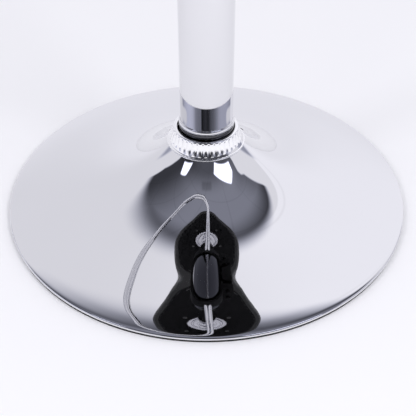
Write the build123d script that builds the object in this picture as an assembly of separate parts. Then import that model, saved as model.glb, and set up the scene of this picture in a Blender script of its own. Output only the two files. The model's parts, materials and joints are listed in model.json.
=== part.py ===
from build123d import *
import math
import os

# Swivel bar stool. Millimetres, +Z up, the origin on the floor under the column's axis.
# The footrest's bow is in front (-Y). The seat is modelled turned a quarter to it: its broad, nearly straight
# end, with the release lever under it, points to -X.
# It is modelled with the gas spring fully out, so the seat is at its highest.

# chrome dish
base_r = 197.5
dish_wall = 1.8
rim_bead_r = 2.0
neck_z = 79.9
weld_gap = 0.1
# share of the way from the neck out to the rim, and the height there as a share of the neck's height
dish_profile_shares = (
    (0.0, 1.0), (0.03, 0.908), (0.07, 0.8013), (0.12, 0.6887), (0.175, 0.5854), (0.235, 0.4915),
    (0.3, 0.408), (0.37, 0.336), (0.44, 0.2792), (0.51, 0.236), (0.58, 0.2041), (0.65, 0.1793),
    (0.72, 0.1566), (0.79, 0.1323), (0.86, 0.1039), (0.93, 0.0692),
)
rim_lean_deg = 16.8

# rubber ring under the rim
floor_ring_under = 1.6
floor_ring_inset = 1.0
floor_ring_width = 16.0
floor_ring_lip = 2.4
floor_ring_lip_wall = 2.0
bead_gap = 0.2

# ballast under the dish
ballast_t = 6.5
ballast_lift = 4.0
ballast_gap = 0.3
plate_bolt_r = 4.0
plate_bolt_head_r = 7.5
plate_bolt_head_t = 2.2
plate_bolt_circle_r = 38.0
plate_bolt_count = 4
bolt_gap = 0.1

# hub socket
hub_r = 26.8
hub_flange_r = 48.0
hub_flange_t = 5.0
shoulder_r = 26.1
shoulder_low = 81.6
hub_top = 92.7
hub_lip = 0.3

# grooved trim ring over the neck
collar_foot_r = 37.5
collar_rest = 0.4
collar_wall_r = 34.8
collar_foot_t = 2.6
collar_h = 16.6
collar_edge_drop = 2.8
collar_hole_r = 27.3
collar_wall = 1.8
collar_gap = 0.3
collar_shift = 0.6
groove_count = 36
groove_r = 0.75
groove_land = 0.8

# column
column_r = 25.0
column_wall = 2.0
column_top = 361.0
foot_low = 32.0
foot_low_r = 23.6
foot_step = 0.1
taper_gap = 0.05
foot_blend = 7.0

# guide bush in the column's upper end
bush_length = 60.0
bush_flange_t = 4.0
bush_flange_inset = 0.4
slide_gap = 0.05

# thrust bearing on the end plate
end_plate_lift = 8.0
end_plate_t = 3.0
stub_r = 4.0
stub_gap = 0.3
race_t = 2.5
race_r = 14.0
race_bore_gap = 0.05
lower_race_bore_gap = 1.2
ball_r = 2.0
ball_play = 0.05
ball_circle_r = 10.0
ball_count = 12
cage_t = 1.6
cage_width = 6.0
cage_gap = 0.12

# under the end plate
rod_washer_t = 1.5
rod_washer_r = 9.0
rod_clip_t = 1.2
rod_clip_r = 7.0
rod_clip_mouth = 5.0
clip_groove = 0.8
end_play = 0.2
stub_tail = 3.0

# gas spring
rod_r = 5.0
bump_r = 12.0
bump_h = 10.0
stop_gap = 0.5
stroke = 210.0
cylinder_r = 14.0
cylinder_bore_r = 12.2
guide_h = 18.0
seal_h = 4.0
piston_h = 12.0
piston_gap = 0.1
rod_tip_r = 3.5
rod_rivet_r = 5.0
rod_rivet_t = 2.5
press_gap = 0.05

# upper tube
upper_tube_r = 21.4
upper_tube_wall = 1.5
upper_tube_inset = 6.0
spacer_h = 12.0
spacer_top_drop = 34.0

# stepped cover disc under the seat, and the seat mechanism above it
cover_top = 688.0
cover_r = 59.0
cover_step_r = 36.5
cover_t = 1.5
cover_lip = 7.0
cover_depth = 13.0
socket_r = 17.0
socket_low_drop = 24.0
socket_rise = 9.0
cylinder_rise = 10.0
taper_drop = 33.0
taper_top_r = 13.3
valve_h = 52.0
valve_drop = 1.0
pin_r = 3.0
pin_rise = 6.0
pin_length = 44.0
pin_stroke = 3.4

pan_t = 2.5
pan_half_x = 65.0
pan_half_y = 45.0
pan_flange_y = 38.0
pan_flange_half_x = 76.0
pan_depth = 28.0

# release lever
lever_pivot_x = 38.0
lever_pin_gap = 0.3
lever_bar_t = 5.0
lever_bar_w = 10.0
lever_nose = 6.0
lever_barrel_r = 5.4
lever_arm = 20.0
pivot_r = 3.0
pivot_head_r = 5.0
pivot_head_t = 2.0
pivot_gap = 0.05
ear_gap = 0.5
ear_t = 2.5
ear_half_x = 8.0
ear_top_gap = 1.4
lever_rod_r = 4.0
lever_drop = 21.0
lever_bend_r = 12.0
lever_slope_x = 14.0
lever_reach = 214.0
grip_r = 8.0
grip_length = 62.0
grip_end_round = 3.0
grip_bore_depth = 50.0
grip_gap = 0.05

# seat
seat_half_x = 228.0
seat_half_y = 175.0
# one side of the seat's outline, from the tip at +X to the tip at -X, as shares of its half sizes
seat_outline_shares = (
    (1.0, 0.0), (0.972, 0.257), (0.878, 0.437), (0.71, 0.592), (0.526, 0.743), (0.329, 0.88), (0.132, 0.975),
    (-0.045, 1.0), (-0.215, 0.983), (-0.36, 0.935), (-0.5, 0.865), (-0.642, 0.792), (-0.78, 0.73), (-0.895, 0.67),
    (-0.961, 0.605), (-0.988, 0.505), (-0.997, 0.35), (-1.0, 0.175), (-1.0, 0.0),
)
cloth_t = 0.5
cover_skin = 1.2
board_t = 12.0
cushion_h = 76.0
cushion_edge = 100.0
# height share and how far the outline is drawn in there, as a share of cushion_edge
cushion_shares = (
    (0.0, 0.15), (0.125, 0.05), (0.289, 0.008), (0.461, 0.0), (0.618, 0.02), (0.757, 0.08),
    (0.855, 0.18), (0.917, 0.31), (0.954, 0.46), (0.979, 0.63), (0.9935, 0.81), (1.0, 1.0),
)
soft_gap = 0.3
cover_lip_in = 38.0
cloth_in = 24.0
seat_bolt_x = 60.0
seat_bolt_y = 65.0
seat_bolt_r = 3.0
seat_bolt_head_r = 5.0
seat_bolt_head_t = 4.0
seat_washer_r = 7.0
seat_washer_t = 1.4
tee_r = 4.2
tee_flange_r = 9.0
tee_flange_t = 1.5
tee_floor = 1.0
bolt_tip_drop = 2.0

# footrest
footrest_z = 318.0
footrest_tube_r = 6.5
footrest_tube_wall = 1.5
footrest_half_x = 172.0
footrest_front = 147.0
footrest_turn_deg = 3.0
# corners of the bow as shares of its half width and of its depth, from the arm on +X round to the arm on -X
footrest_corner_shares = (
    (1.0, 0.0), (0.965, 0.55), (0.70, 0.92), (0.16, 1.02), (-0.56, 0.83), (-0.93, 0.54), (-1.0, 0.0),
)
# bend radii at those corners as shares of the bow's depth
footrest_bend_shares = (0.24, 0.6, 0.6, 1.3, 0.6, 0.6, 0.24)
clamp_wall = 3.6
clamp_h = 36.0
clamp_gap = 0.1
clamp_slit = 3.0
lug_t = 5.0
lug_reach = 17.0
lug_edge = 3.0
clamp_screw_r = 2.5
clamp_head_r = 4.2
clamp_head_t = 4.0
clamp_nut_r = 4.4
clamp_nut_t = 3.6
clamp_screw_tail = 2.0

cut_over = 1.0

# heights and radii that follow from the sizes above
rim_r = base_r - rim_bead_r
rim_z = floor_ring_under + rim_bead_r
neck_r = hub_r + weld_gap + dish_wall
ballast_low = ballast_lift
ballast_top = ballast_low + ballast_t
hub_low = ballast_top
column_bore_r = column_r - column_wall
foot_top = hub_top + hub_lip
foot_top_r = column_r - foot_step
end_plate_low = foot_low + end_plate_lift
end_plate_top = end_plate_low + end_plate_t
lower_race_top = end_plate_top + race_t
ball_z = lower_race_top + ball_play + ball_r
upper_race_low = ball_z + ball_r + ball_play
upper_race_top = upper_race_low + race_t
bump_top = upper_race_top + bump_h
cylinder_low = bump_top + stop_gap + stroke
guide_top = cylinder_low + guide_h
seal_top = guide_top + seal_h
piston_low = seal_top + stop_gap
piston_top = piston_low + piston_h
cylinder_top = cover_top + cylinder_rise
taper_low = cylinder_top - taper_drop - cylinder_rise
socket_low = cover_top - socket_low_drop
socket_top = cover_top + socket_rise
valve_top = cylinder_top - valve_drop
pin_top = cylinder_top + pin_rise
upper_tube_low = cylinder_low + upper_tube_inset
upper_tube_top = cover_top - cover_depth
pan_low = cover_top
flange_top = pan_low + pan_depth
flange_low = flange_top - pan_t
lever_z = pin_top + lever_pin_gap + lever_bar_t / 2
cover_low = flange_top + cloth_t
board_low = cover_low + cover_skin
board_top = board_low + board_t
seat_top = cover_low + cushion_h
clamp_bore_r = column_r + clamp_gap
clamp_r = clamp_bore_r + clamp_wall
clamp_low = footrest_z - clamp_h / 2
clamp_top = footrest_z + clamp_h / 2


def turned(points):
    """Solid of revolution about Z from a closed outline of (radius, height) points."""
    outline = Polyline(*[(r, 0, z) for r, z in points], close=True)
    return revolve(make_face(outline), Axis.Z)


def tube(outer, inner, low, high):
    """Straight round tube or disc with a hole, between two heights."""
    return turned([(inner, low), (outer, low), (outer, high), (inner, high)])


def rod(radius, low, high):
    """Straight round bar about Z."""
    return turned([(0, low), (radius, low), (radius, high), (0, high)])


def block(x0, x1, y0, y1, z0, z1):
    """Box from its two corners."""
    size = (x1 - x0, y1 - y0, z1 - z0)
    return Pos((x0 + x1) / 2, (y0 + y1) / 2, (z0 + z1) / 2) * Box(*size)


def around(count, radius, phase=0.0):
    """Centres of equal steps on a circle."""
    turn = 2 * math.pi / count
    return [(radius * math.cos(turn * k + phase), radius * math.sin(turn * k + phase)) for k in range(count)]


def hexagon(flat_r, depth):
    """Hexagonal bar about Z, from zero upwards, by its corner radius."""
    return extrude(RegularPolygon(flat_r, side_count=6), depth)


def dish_points(drop):
    """Outline of the dish from neck to rim, moved in by drop along its own normal."""
    outer = []
    for out_share, height_share in dish_profile_shares:
        outer.append((neck_r + out_share * (rim_r - neck_r), rim_z + height_share * (neck_z - rim_z)))
    lean = math.radians(rim_lean_deg)
    outer.append((rim_r + rim_bead_r * math.sin(lean), rim_z + rim_bead_r * math.cos(lean)))
    moved = []
    for k, (r, z) in enumerate(outer):
        before = outer[max(k - 1, 0)]
        after = outer[min(k + 1, len(outer) - 1)]
        dr, dz = after[0] - before[0], after[1] - before[1]
        if k == len(outer) - 1:
            dr, dz = math.cos(lean), -math.sin(lean)
        length = math.hypot(dr, dz)
        moved.append((r + drop * dz / length, z - drop * dr / length))
    return moved


def dish_curve(points):
    """Smooth curve through the dish's outline points, leaving the rim at its lean."""
    lean = math.radians(rim_lean_deg)
    first = (points[1][0] - points[0][0], 0, points[1][1] - points[0][1])
    return Spline(*[(r, 0, z) for r, z in points], tangents=[first, (math.cos(lean), 0, -math.sin(lean))])


def dish_height(radius):
    """Height of the dish's outer face at a radius."""
    points = dish_points(0.0)
    for (r0, z0), (r1, z1) in zip(points, points[1:]):
        if r0 <= radius <= r1:
            return z0 + (z1 - z0) * (radius - r0) / (r1 - r0)
    return neck_z


def base_dish():
    """Spun steel trumpet with a beaded rim."""
    outer, inner = dish_points(0.0), dish_points(dish_wall)
    top, under = dish_curve(outer), dish_curve(inner)
    neck = Line(top @ 0, under @ 0)
    edge = Line(top @ 1, under @ 1)
    sheet = revolve(make_face([*top.edges(), *edge.edges(), *under.edges(), *neck.edges()]), Axis.Z)
    bead = Pos(0, 0, rim_z) * Torus(rim_r, rim_bead_r)
    return sheet + bead


def ring_on_floor():
    """Rubber ring: flat band under the bead, with a lip inside it that holds it in the rim."""
    outer = base_r - rim_bead_r + floor_ring_inset
    inner = outer - floor_ring_width
    lip_out = rim_r - rim_bead_r - bead_gap
    lip_top = floor_ring_under + floor_ring_lip
    points = [(inner, 0), (outer, 0), (outer, floor_ring_under), (lip_out, floor_ring_under)]
    points += [(lip_out, lip_top), (lip_out - floor_ring_lip_wall, lip_top)]
    points += [(lip_out - floor_ring_lip_wall, floor_ring_under), (inner, floor_ring_under)]
    return turned(points)


def ballast_edge():
    """Radius at which the ballast plate's upper edge comes up to the dish's under face."""
    limit = ballast_top + ballast_gap
    under = dish_points(dish_wall)
    for (r0, z0), (r1, z1) in zip(under, under[1:]):
        if z0 >= limit >= z1:
            return r0 + (r1 - r0) * (z0 - limit) / (z0 - z1) - ballast_gap
    return under[-2][0]


def ballast_plate():
    """Flat steel disc that weighs the foot down."""
    plate = tube(ballast_edge(), foot_low_r, ballast_low, ballast_top)
    for x, y in around(plate_bolt_count, plate_bolt_circle_r, math.pi / 4):
        plate -= Pos(x, y, 0) * rod(plate_bolt_r + bolt_gap, ballast_low - cut_over, ballast_top + cut_over)
    return plate


def plate_bolts():
    """Low-headed bolts from under the ballast plate into the hub's flange."""
    bolts = []
    for x, y in around(plate_bolt_count, plate_bolt_circle_r, math.pi / 4):
        bolt = rod(plate_bolt_r, ballast_low - plate_bolt_head_t, hub_low + hub_flange_t)
        bolt += rod(plate_bolt_head_r, ballast_low - plate_bolt_head_t, ballast_low)
        bolts.append(Pos(x, y, 0) * bolt)
    return Compound(children=bolts)


def foot_radius(z):
    """Outer radius of the column's tapered foot at a height."""
    return foot_low_r + (foot_top_r - foot_low_r) * (z - foot_low) / (foot_top - foot_low)


def hub_socket():
    """Turned sleeve with a flange below and a rounded bright shoulder above."""
    bulge = shoulder_r + hub_lip
    top_r = column_r + hub_lip
    start = Vector(shoulder_r, 0, shoulder_low)
    middle = Vector(bulge, 0, (shoulder_low + hub_top) / 2)
    round_off = ThreePointArc(start, middle, Vector(top_r, 0, hub_top))
    flange_top_z = hub_low + hub_flange_t
    bore_low = foot_radius(hub_low) + taper_gap
    bore_top = foot_radius(hub_top) + taper_gap
    rest = Polyline(
        (top_r, 0, hub_top), (bore_top, 0, hub_top), (bore_low, 0, hub_low), (hub_flange_r, 0, hub_low),
        (hub_flange_r, 0, flange_top_z), (hub_r, 0, flange_top_z), (hub_r, 0, shoulder_low - hub_lip),
        (shoulder_r, 0, shoulder_low),
    )
    hub = revolve(make_face([*round_off.edges(), *rest.edges()]), Axis.Z)
    for x, y in around(plate_bolt_count, plate_bolt_circle_r, math.pi / 4):
        hub -= Pos(x, y, 0) * rod(plate_bolt_r + bolt_gap, hub_low - cut_over, flange_top_z + cut_over)
    return hub


def neck_form(rise):
    """Solid that fills the dish's neck up to its outer face, lifted by rise."""
    points = [(r, z + rise) for r, z in dish_points(0.0)[:5]]
    return turned([(0, points[0][1]), *points, (0, points[-1][1])])


def collar_ring():
    """Trim ring: plain flared foot, grooved wall, rounded top, open underneath."""
    collar_foot_z = dish_height(collar_foot_r) + collar_rest
    collar_top = collar_foot_z + collar_h
    foot_top_z = collar_foot_z + collar_foot_t
    edge_z = collar_top - collar_edge_drop
    inner_wall = collar_wall_r - collar_wall
    under = edge_z - collar_wall / 2
    points = [
        (collar_foot_r, collar_foot_z), (collar_foot_r, collar_foot_z + collar_wall / 2),
        (collar_wall_r + groove_land, foot_top_z), (collar_wall_r, foot_top_z + groove_land),
        (collar_wall_r, edge_z), (collar_wall_r - groove_land, edge_z + collar_wall / 2),
        (collar_hole_r + collar_wall * 2, collar_top), (collar_hole_r + groove_land / 2, collar_top),
        (collar_hole_r, collar_top - groove_land / 2), (collar_hole_r, collar_top - collar_wall),
        (inner_wall, under), (inner_wall, collar_foot_z),
    ]
    ring = turned(points)
    # the grooves end above the place where the dish's neck comes nearest to them inside the ring
    groove_depth = groove_r - groove_r / 3
    nearest = dish_height(collar_wall_r - groove_depth - collar_shift) + collar_gap
    groove_low = max(foot_top_z, nearest) + groove_land
    cutters = []
    for x, y in around(groove_count, collar_wall_r + groove_r / 3):
        cutters.append(Pos(x, y, 0) * rod(groove_r, groove_low, collar_top))
    ring -= Compound(children=cutters)
    return Pos(0, -collar_shift, 0) * ring - neck_form(collar_gap)


def column_tube():
    """Outer column: straight tube with a slim tapered foot."""
    low_bore = foot_low_r - column_wall
    top_bore = foot_top_r - column_wall
    return turned([
        (foot_low_r, foot_low), (foot_top_r, foot_top), (column_r, foot_top), (column_r, column_top),
        (column_bore_r, column_top), (column_bore_r, foot_top + foot_blend), (top_bore, foot_top),
        (low_bore, foot_low),
    ])


def column_end_plate():
    """Disc welded in the column's foot, with a hole for the rod's stub."""
    edge = foot_radius(end_plate_low) - column_wall - weld_gap
    return tube(edge, stub_r + stub_gap, end_plate_low, end_plate_top)


def guide_bush():
    """Nylon bush in the column's upper end, with a flange that closes the column's edge."""
    inner = upper_tube_r + slide_gap
    outer = column_bore_r - press_gap
    edge = column_r - bush_flange_inset
    low = column_top - bush_length
    high = column_top + bush_flange_t
    return turned([
        (inner, low), (outer, low), (outer, column_top), (edge, column_top), (edge, high - bush_flange_inset),
        (edge - bush_flange_inset, high), (inner, high),
    ])


def bearing_lower_race():
    return tube(race_r, stub_r + lower_race_bore_gap, end_plate_top, lower_race_top)


def bearing_upper_race():
    return tube(race_r, stub_r + race_bore_gap, upper_race_low, upper_race_top)


def bearing_balls():
    """Ring of equal balls between the two races."""
    return Compound(children=[Pos(x, y, ball_z) * Sphere(ball_r) for x, y in around(ball_count, ball_circle_r)])


def ball_cage():
    """Flat ring with a pocket for each ball."""
    cage = tube(
        ball_circle_r + cage_width / 2, ball_circle_r - cage_width / 2, ball_z - cage_t / 2, ball_z + cage_t / 2
    )
    for x, y in around(ball_count, ball_circle_r):
        cage -= Pos(x, y, 0) * rod(ball_r + cage_gap, ball_z - cage_t, ball_z + cage_t)
    return cage


def rod_washer():
    top = end_plate_low - end_play
    return tube(rod_washer_r, stub_r + race_bore_gap, top - rod_washer_t, top)


def rod_clip():
    """Snap clip with an open mouth in the stub's groove."""
    top = end_plate_low - end_play - rod_washer_t
    clip = tube(rod_clip_r, stub_r - clip_groove + race_bore_gap, top - rod_clip_t, top)
    return clip - block(0, rod_clip_r + cut_over, -rod_clip_mouth / 2, rod_clip_mouth / 2, top - rod_clip_t, top)


def piston_rod():
    """Rod with a stub and clip groove below, and a riveted tip through the piston above."""
    clip_top = end_plate_low - end_play - rod_washer_t
    clip_low = clip_top - rod_clip_t
    groove_r_in = stub_r - clip_groove
    tip_top = piston_top + rod_rivet_t
    return turned([
        (0, clip_low - stub_tail), (stub_r, clip_low - stub_tail), (stub_r, clip_low), (groove_r_in, clip_low),
        (groove_r_in, clip_top), (stub_r, clip_top), (stub_r, upper_race_top), (rod_r, upper_race_top),
        (rod_r, piston_low), (rod_tip_r, piston_low), (rod_tip_r, piston_top), (rod_rivet_r, piston_top),
        (rod_rivet_r, piston_top + rod_rivet_t / 2), (rod_tip_r, tip_top), (0, tip_top),
    ])


def bump_stop():
    """Rubber ring on the upper race that ends the seat's way down."""
    return tube(bump_r, rod_r + race_bore_gap, upper_race_top, bump_top)


def piston():
    return tube(cylinder_bore_r - piston_gap, rod_tip_r + race_bore_gap, piston_low, piston_top)


def taper_radius(z):
    """Outer radius of the cylinder's tapered end at a height."""
    return cylinder_r + (taper_top_r - cylinder_r) * (z - taper_low) / (cylinder_top - taper_low)


def gas_cylinder():
    """Pressure tube, tapered at the top where it sits in the cone socket."""
    return turned([
        (cylinder_bore_r, cylinder_low), (cylinder_r, cylinder_low), (cylinder_r, taper_low),
        (taper_top_r, cylinder_top), (cylinder_bore_r, cylinder_top),
    ])


def cylinder_guide():
    return tube(cylinder_bore_r - press_gap, rod_r + slide_gap, cylinder_low, guide_top)


def rod_seal():
    return tube(cylinder_bore_r - press_gap, rod_r + slide_gap, guide_top, seal_top)


def valve_body():
    """Plug in the cylinder's upper end, bored for the release pin."""
    plug = rod(cylinder_bore_r - press_gap, valve_top - valve_h, valve_top)
    return plug - rod(pin_r + slide_gap, pin_top - pin_length - pin_stroke * 2, valve_top + cut_over)


def release_pin():
    """Slim pin with a domed end that the lever presses."""
    dome = pin_r / 3
    return turned([
        (0, pin_top - pin_length), (pin_r, pin_top - pin_length), (pin_r, pin_top - dome), (pin_r / 2, pin_top),
        (0, pin_top),
    ])


def upper_tube():
    return tube(upper_tube_r, upper_tube_r - upper_tube_wall, upper_tube_low, upper_tube_top)


def tube_spacers():
    """Rings that hold the cylinder central in the upper tube, one at each end."""
    rings = []
    for low in (upper_tube_low, upper_tube_top - spacer_top_drop):
        outer = upper_tube_r - upper_tube_wall - press_gap
        rings.append(tube(outer, cylinder_r + press_gap, low, low + spacer_h))
    return Compound(children=rings)


def cone_socket():
    """Sleeve welded into the pan, bored to the cylinder's taper."""
    low_bore = taper_radius(socket_low) + taper_gap
    top_bore = taper_radius(socket_top) + taper_gap
    return turned([(low_bore, socket_low), (socket_r, socket_low), (socket_r, socket_top), (top_bore, socket_top)])


def cover_disc():
    """Stepped chrome cup under the pan, with a turned-down lip."""
    hole = socket_r + weld_gap
    web_low = cover_top - cover_depth
    under = cover_top - cover_t
    return turned([
        (hole, web_low), (cover_step_r, web_low), (cover_step_r, under), (cover_r - cover_t, under),
        (cover_r - cover_t, cover_top - cover_lip), (cover_r, cover_top - cover_lip),
        (cover_r, cover_top - cover_t), (cover_r - cover_t, cover_top), (cover_step_r - cover_t, cover_top),
        (cover_step_r - cover_t, web_low + cover_t), (hole, web_low + cover_t),
    ])


def bolt_places():
    return [(x, y) for x in (-seat_bolt_x, seat_bolt_x) for y in (-seat_bolt_y, seat_bolt_y)]


def mechanism_pan():
    """Folded steel channel under the seat board, with two ears for the lever's pivot."""
    pan = block(-pan_half_x, pan_half_x, -pan_half_y, pan_half_y, pan_low, pan_low + pan_t)
    for side in (-1, 1):
        inner, outer = side * (pan_half_y - pan_t), side * pan_half_y
        far = side * (pan_half_y + pan_flange_y)
        pan += block(-pan_half_x, pan_half_x, min(inner, outer), max(inner, outer), pan_low, flange_top)
        pan += block(
            -pan_flange_half_x, pan_flange_half_x, min(inner, far), max(inner, far), flange_low, flange_top
        )
        ear_in = lever_bar_w / 2 + ear_gap
        near, away = side * ear_in, side * (ear_in + ear_t)
        pan += block(
            -lever_pivot_x - ear_half_x, -lever_pivot_x + ear_half_x, min(near, away), max(near, away),
            pan_low, flange_top - ear_top_gap,
        )
    pan -= rod(socket_r + weld_gap, pan_low - cut_over, pan_low + pan_t + cut_over)
    reach = lever_bar_w / 2 + ear_gap + ear_t + cut_over
    pan -= Pos(-lever_pivot_x, 0, lever_z) * Rot(90, 0, 0) * Cylinder(pivot_r + press_gap, 2 * reach)
    for x, y in bolt_places():
        pan -= Pos(x, y, 0) * rod(seat_bolt_r + bolt_gap, flange_low - cut_over, flange_top + cut_over)
    return pan


def lever_pin():
    """Headed pin through the two ears."""
    end = lever_bar_w / 2 + ear_gap + ear_t
    tail = pivot_head_t * 2
    shank = Pos(-lever_pivot_x, tail / 2, lever_z) * Rot(90, 0, 0) * Cylinder(pivot_r, 2 * end + tail)
    head = Pos(-lever_pivot_x, -end - pivot_head_t / 2, lever_z) * Rot(90, 0, 0) * Cylinder(pivot_head_r, pivot_head_t)
    return shank + head


def lever_pin_clip():
    """Push-on clip at the pin's tail."""
    end = lever_bar_w / 2 + ear_gap + ear_t
    ring = Cylinder(pivot_head_r, pivot_head_t / 2) - Cylinder(pivot_r + press_gap, pivot_head_t)
    return Pos(-lever_pivot_x, end + ear_gap / 2 + pivot_head_t / 4, lever_z) * Rot(90, 0, 0) * ring


def lever_path():
    """Centre line of the lever's round rod, from the flat bar out to the grip."""
    start = -lever_pivot_x - lever_arm
    low_z = lever_z - lever_drop
    points = [
        (start, 0, lever_z), (start - lever_slope_x, 0, lever_z), (start - lever_slope_x * 2, 0, low_z),
        (-lever_reach + grip_length, 0, low_z),
    ]
    return FilletPolyline(*points, radius=lever_bend_r)


def release_lever():
    """Flat bar over the release pin, pivoted between the ears, then a round rod out to the side."""
    bar = block(
        -lever_pivot_x - lever_arm, lever_nose, -lever_bar_w / 2, lever_bar_w / 2,
        lever_z - lever_bar_t / 2, lever_z + lever_bar_t / 2,
    )
    barrel = Pos(-lever_pivot_x, 0, lever_z) * Rot(90, 0, 0) * Cylinder(lever_barrel_r, lever_bar_w)
    path = lever_path()
    section = Plane(path @ 0, z_dir=path % 0) * Circle(lever_rod_r)
    arm = sweep(section, path=path)
    end_x = -lever_reach + grip_length
    tip = Pos(end_x - grip_bore_depth / 2, 0, lever_z - lever_drop) * Rot(0, 90, 0)
    arm += tip * Cylinder(lever_rod_r, grip_bore_depth)
    stub = Pos(-lever_pivot_x - lever_arm, 0, lever_z) * Rot(0, 90, 0) * Cylinder(lever_rod_r, lever_slope_x)
    lever = bar + barrel + arm + stub
    return lever - Pos(-lever_pivot_x, 0, lever_z) * Rot(90, 0, 0) * Cylinder(pivot_r + pivot_gap, lever_bar_w * 2)


def lever_grip():
    """Round plastic grip with soft ends, on the lever's tip."""
    grip = Cylinder(grip_r, grip_length)
    grip = fillet(grip.edges(), grip_end_round)
    bore = Cylinder(lever_rod_r + grip_gap, grip_bore_depth + grip_gap)
    grip -= Pos(0, 0, (grip_length - grip_bore_depth - grip_gap) / 2) * bore
    return Pos(-lever_reach + grip_length / 2, 0, lever_z - lever_drop) * Rot(0, 90, 0) * grip


def outline(inset, z):
    """Smooth outline of the seat, drawn in by inset, at a height."""
    half_x, half_y = seat_half_x - inset, seat_half_y - inset
    side = [(sx * half_x, sy * half_y, z) for sx, sy in seat_outline_shares]
    other = [(x, -y, h) for x, y, h in reversed(side[1:-1])]
    return make_face(Spline(*side, *other, periodic=True))


def slab(inset, low, high):
    """Flat piece with the seat's outline."""
    return extrude(outline(inset, low), high - low)


def cushion(skin, low, high):
    """Crowned cushion with drawn-in sides, thinner than the cover by skin."""
    sections = []
    for height_share, in_share in cushion_shares:
        sections.append(outline(in_share * cushion_edge + skin, low + height_share * (high - low)))
    return loft(sections)


def seat_cover():
    """Leatherette cover: a thin skin over foam and board, turned in under the board."""
    outer = cushion(0.0, cover_low, seat_top)
    inner = cushion(cover_skin, board_low, seat_top - cover_skin)
    mouth = slab(cover_lip_in, cover_low - cut_over, board_low + cover_skin)
    return outer - inner - mouth


def board_inset():
    return cushion_shares[0][1] * cushion_edge + cover_skin + soft_gap


def seat_board():
    """Plywood board with holes and shallow seats for the tee nuts."""
    board = slab(board_inset(), board_low, board_top)
    for x, y in bolt_places():
        board -= Pos(x, y, 0) * rod(tee_r + bolt_gap, board_low - cut_over, board_top)
        board -= Pos(x, y, 0) * rod(tee_flange_r + bolt_gap, board_top - tee_flange_t, board_top + cut_over)
    return board


def seat_foam():
    """Foam block between the board and the cover."""
    skin = cover_skin + soft_gap
    whole = cushion(skin, board_low + soft_gap, seat_top - skin)
    return whole - slab(0.0, board_low - cut_over, board_top + soft_gap)


def dust_cloth():
    """Thin cloth over the board's under face, covering the cover's turned-in edge."""
    cloth = slab(cloth_in, flange_top, cover_low)
    for x, y in bolt_places():
        cloth -= Pos(x, y, 0) * rod(tee_r + bolt_gap, flange_top - cut_over, cover_low + cut_over)
    return cloth


def tee_nuts():
    nuts = []
    for x, y in bolt_places():
        nut = tube(tee_r, seat_bolt_r + bolt_gap, board_low + tee_floor, board_top)
        nut += tube(tee_flange_r, seat_bolt_r + bolt_gap, board_top - tee_flange_t, board_top)
        nuts.append(Pos(x, y, 0) * nut)
    return Compound(children=nuts)


def seat_bolts():
    """Hexagon bolts from under the pan's flanges up into the tee nuts."""
    bolts = []
    head_top = flange_low - seat_washer_t
    for x, y in bolt_places():
        bolt = rod(seat_bolt_r, head_top - seat_bolt_head_t, board_top - bolt_tip_drop)
        bolt += Pos(0, 0, head_top - seat_bolt_head_t) * hexagon(seat_bolt_head_r, seat_bolt_head_t)
        bolts.append(Pos(x, y, 0) * bolt)
    return Compound(children=bolts)


def bolt_washers():
    low = flange_low - seat_washer_t
    ring = tube(seat_washer_r, seat_bolt_r + bolt_gap, low, flange_low)
    return Compound(children=[Pos(x, y, 0) * ring for x, y in bolt_places()])


def footrest_path():
    """Closed run of the footrest: out along one arm, round the bow, back along the other."""
    corners = [(sx * footrest_half_x, -sy * footrest_front, footrest_z) for sx, sy in footrest_corner_shares]
    points = [(clamp_bore_r, 0, footrest_z), *corners, (-clamp_bore_r, 0, footrest_z)]
    return FilletPolyline(*points, radius=[share * footrest_front for share in footrest_bend_shares])


def footrest_bow():
    """Bent round tube from one side of the clamp round the front to the other side."""
    path = footrest_path()
    start = Plane(path @ 0, z_dir=path % 0)
    solid = sweep(start * Circle(footrest_tube_r), path=path)
    bore = sweep(start * Circle(footrest_tube_r - footrest_tube_wall), path=path)
    bow = solid - bore - rod(clamp_r + weld_gap, clamp_low - cut_over, clamp_top + cut_over)
    return Rot(0, 0, footrest_turn_deg) * bow


def screw_rows():
    return [clamp_low + clamp_h / 4, clamp_top - clamp_h / 4]


def footrest_clamp():
    """Split sleeve on the column, with two lugs at the back."""
    sleeve = tube(clamp_r, clamp_bore_r, clamp_low, clamp_top)
    half = clamp_slit / 2
    lug_y = clamp_r + lug_reach
    for side in (-1, 1):
        near, far = side * half, side * (half + lug_t)
        sleeve += block(
            min(near, far), max(near, far), clamp_bore_r + clamp_wall / 2, lug_y,
            clamp_low + lug_edge, clamp_top - lug_edge,
        )
    sleeve -= block(-half, half, clamp_bore_r - clamp_wall, lug_y + cut_over, clamp_low - cut_over, clamp_top + cut_over)
    for z in screw_rows():
        hole = Cylinder(clamp_screw_r + bolt_gap, 2 * (half + lug_t + cut_over))
        sleeve -= Pos(0, clamp_r + lug_reach / 2, z) * Rot(0, 90, 0) * hole
    return Rot(0, 0, footrest_turn_deg) * sleeve


def clamp_screws():
    """Socket screws through the clamp's lugs."""
    side = clamp_slit / 2 + lug_t
    screws = []
    for z in screw_rows():
        length = 2 * side + clamp_nut_t + clamp_screw_tail
        shank = Pos(side - length / 2, 0, 0) * Rot(0, 90, 0) * Cylinder(clamp_screw_r, length)
        head = Pos(side + clamp_head_t / 2, 0, 0) * Rot(0, 90, 0) * Cylinder(clamp_head_r, clamp_head_t)
        screws.append(Rot(0, 0, footrest_turn_deg) * Pos(0, clamp_r + lug_reach / 2, z) * (shank + head))
    return Compound(children=screws)


def clamp_nuts():
    side = clamp_slit / 2 + lug_t
    nuts = []
    for z in screw_rows():
        nut = hexagon(clamp_nut_r, clamp_nut_t) - Cylinder(clamp_screw_r + bolt_gap, clamp_nut_t * 3)
        nuts.append(Rot(0, 0, footrest_turn_deg) * Pos(-side, clamp_r + lug_reach / 2, z) * Rot(0, -90, 0) * nut)
    return Compound(children=nuts)


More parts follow.
